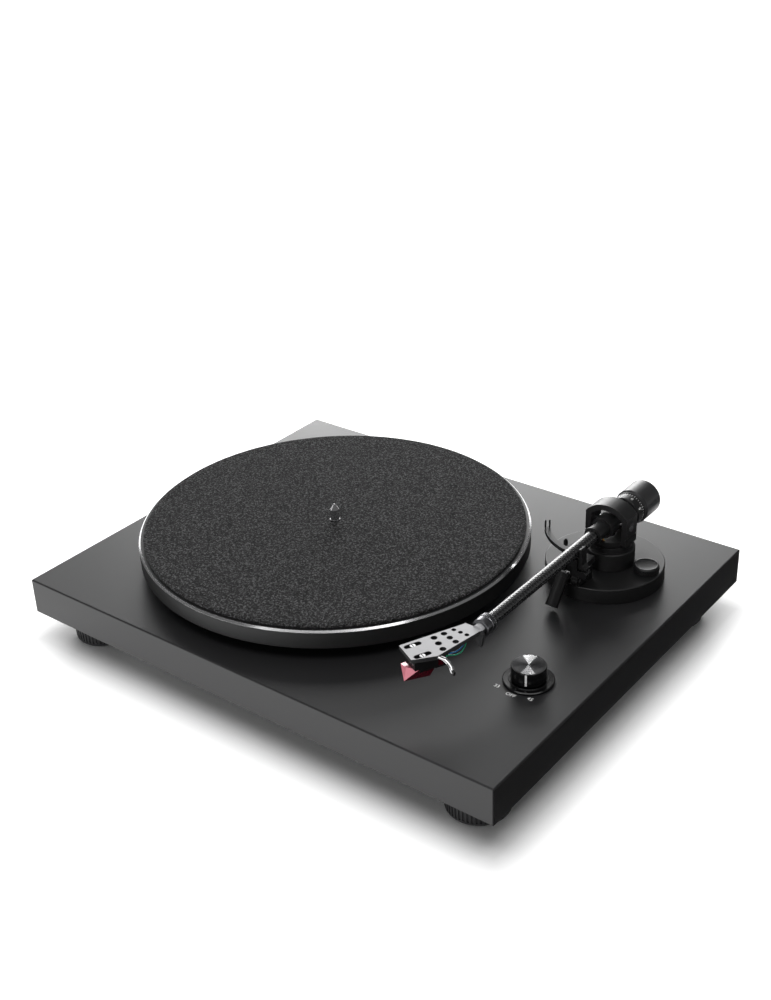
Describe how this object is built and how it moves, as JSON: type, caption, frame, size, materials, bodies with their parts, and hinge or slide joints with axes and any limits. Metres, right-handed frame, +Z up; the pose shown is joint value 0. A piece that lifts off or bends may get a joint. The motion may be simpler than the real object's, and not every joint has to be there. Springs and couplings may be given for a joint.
{
  "type": "turntable record player",
  "caption": "Belt-driven record player with a flat black plinth, felt-topped platter, straight tonearm parked on its rest, and a rotary speed switch.",
  "frame": {"origin": "centre of the plinth's outline, on the surface that the feet stand on", "axes": "+X to the right towards the tonearm, +Y to the back, +Z up"},
  "size_m": [0.42, 0.338, 0.1148],
  "materials": {
    "satin_black_paint": "satin",
    "dark_sheet": "satin",
    "zinc_screw": "satin",
    "foot_rubber": "matt",
    "pad_felt": "matt",
    "bearing_aluminium": "machined",
    "bronze": "satin",
    "polished_steel": "polished",
    "motor_steel": "satin",
    "grommet_rubber": "matt",
    "belt_rubber": "matt",
    "circuit_board": "satin",
    "switch_plastic": "satin",
    "gloss_black": "gloss",
    "gold_plate": "polished",
    "platter_black": "satin with a turned bright edge",
    "felt_mat": "coarse felt",
    "sub_platter_plastic": "satin",
    "spun_aluminium": "spun",
    "arm_black": "satin",
    "arm_black_plastic": "satin",
    "carbon_tube": "lacquered weave",
    "shell_grey": "satin",
    "cartridge_black": "satin",
    "stylus_red": "clear gloss",
    "lead_insulation": "satin",
    "collar_grey": "satin",
    "weight_grey": "satin"
  },
  "bodies": {
    "root": {"plinth": "satin_black_paint", "bottom_cover": "dark_sheet", "cover_screws": "zinc_screw", "foot_front_left": "foot_rubber", "foot_front_right": "foot_rubber", "foot_rear_left": "foot_rubber", "foot_rear_right": "foot_rubber", "foot_pads": "pad_felt", "bearing_housing": "bearing_aluminium", "bearing_bush": "bronze", "thrust_ball": "polished_steel", "bearing_screws": "zinc_screw", "motor": "motor_steel", "motor_plate": "motor_steel", "motor_grommets": "grommet_rubber", "motor_screws": "zinc_screw", "drive_belt": "belt_rubber", "control_board": "circuit_board", "speed_switch": "switch_plastic", "knob_bezel": "gloss_black", "rear_panel": "dark_sheet", "rca_jacks": "gold_plate", "dc_inlet": "switch_plastic", "ground_post": "gold_plate", "tonearm_base": "arm_black", "base_nut": "bearing_aluminium", "pedestal": "arm_black", "yaw_bearings": "polished_steel", "arm_rest": "arm_black_plastic", "lift_housing": "arm_black_plastic"},
    "platter": {"platter": "platter_black", "platter_mat": "felt_mat", "sub_platter": "sub_platter_plastic", "spindle": "polished_steel"},
    "pulley": {"motor_pulley": "bronze"},
    "speed_knob": {"speed_knob": "gloss_black", "knob_cap": "spun_aluminium"},
    "rest_latch": {"rest_latch": "arm_black_plastic"},
    "cue_lever": {"cue_lever": "arm_black_plastic", "lever_screw": "polished_steel", "lift_shaft": "polished_steel"},
    "cue_lift": {"lift_platform": "arm_black_plastic", "lift_piston": "polished_steel"},
    "arm_yoke": {"gimbal_yoke": "arm_black", "yaw_shaft": "polished_steel", "pivot_screws": "polished_steel"},
    "arm": {"arm_tube": "carbon_tube", "arm_barrel": "arm_black", "counterweight_stub": "bearing_aluminium", "headshell": "shell_grey", "finger_lift": "polished_steel", "cartridge": "cartridge_black", "stylus": "stylus_red", "cartridge_screws": "polished_steel", "headshell_leads": "lead_insulation"},
    "locking_collar": {"locking_collar": "collar_grey"},
    "weight_bush": {"counterweight_bush": "switch_plastic"},
    "counterweight": {"counterweight": "weight_grey"},
    "force_dial": {"force_dial": "arm_black_plastic"},
    "anti_skate_knob": {"anti_skate_knob": "arm_black_plastic"}
  },
  "joints": [
    {"name": "platter_spin", "type": "hinge", "parent": "root", "child": "platter", "pos_m": [-0.047, -0.0015, 0.06], "axis": [0, 0, -1], "continuous": true},
    {"name": "pulley_spin", "type": "hinge", "parent": "root", "child": "pulley", "pos_m": [-0.13014, 0.0465, 0.06], "axis": [0, 0, -1], "continuous": true},
    {"name": "speed_select", "type": "hinge", "parent": "root", "child": "speed_knob", "pos_m": [0.168, -0.064, 0.06], "axis": [0, 0, 1], "range_deg": [-62, 12]},
    {"name": "latch_swing", "type": "hinge", "parent": "root", "child": "rest_latch", "pos_m": [0.1542, 0.031, 0.0835], "axis": [0, 1, 0], "range_deg": [0, 75]},
    {"name": "cue_lift", "type": "hinge", "parent": "root", "child": "cue_lever", "pos_m": [0.1368, 0.0368, 0.072], "axis": [-1, 0, 0], "range_deg": [0, 50]},
    {"name": "lift_rise", "type": "slide", "parent": "root", "child": "cue_lift", "axis": [0, 0, 1], "range_m": [0, 0.0061]},
    {"name": "arm_yaw", "type": "hinge", "parent": "root", "child": "arm_yoke", "pos_m": [0.145, 0.083, 0.099], "axis": [0, 0, -1], "range_deg": [0, 47]},
    {"name": "arm_pitch", "type": "hinge", "parent": "arm_yoke", "child": "arm", "pos_m": [0.145, 0.083, 0.099], "axis": [-1, 0, 0], "range_deg": [0, 7.48]},
    {"name": "collar_turn", "type": "hinge", "parent": "arm", "child": "locking_collar", "pos_m": [0.145, -0.082, 0.099], "axis": [0, 1, 0], "range_deg": [0, 40]},
    {"name": "weight_shift", "type": "slide", "parent": "arm", "child": "weight_bush", "axis": [0, 1, 0], "range_m": [-0.00301, 0.00401]},
    {"name": "weight_turn", "type": "hinge", "parent": "weight_bush", "child": "counterweight", "pos_m": [0.145, 0.118, 0.0965], "axis": [0, 1, 0], "range_deg": [-540, 720]},
    {"name": "dial_turn", "type": "hinge", "parent": "counterweight", "child": "force_dial", "pos_m": [0.145, 0.106, 0.0965], "axis": [0, 1, 0], "range_deg": [-180, 180]},
    {"name": "anti_skate_turn", "type": "hinge", "parent": "root", "child": "anti_skate_knob", "pos_m": [0.1745, 0.0845, 0.068], "axis": [0, 0, 1], "range_deg": [0, 270]}
  ],
  "couplings": [
    {"joint": "pulley_spin", "follows": "platter_spin", "ratio": 10},
    {"joint": "lift_rise", "follows": "cue_lift", "m_per_rad": 0.0068755},
    {"joint": "arm_pitch", "follows": "cue_lift", "ratio": 0.14863},
    {"joint": "weight_shift", "follows": "weight_turn", "m_per_rad": 0.00031831}
  ]
}
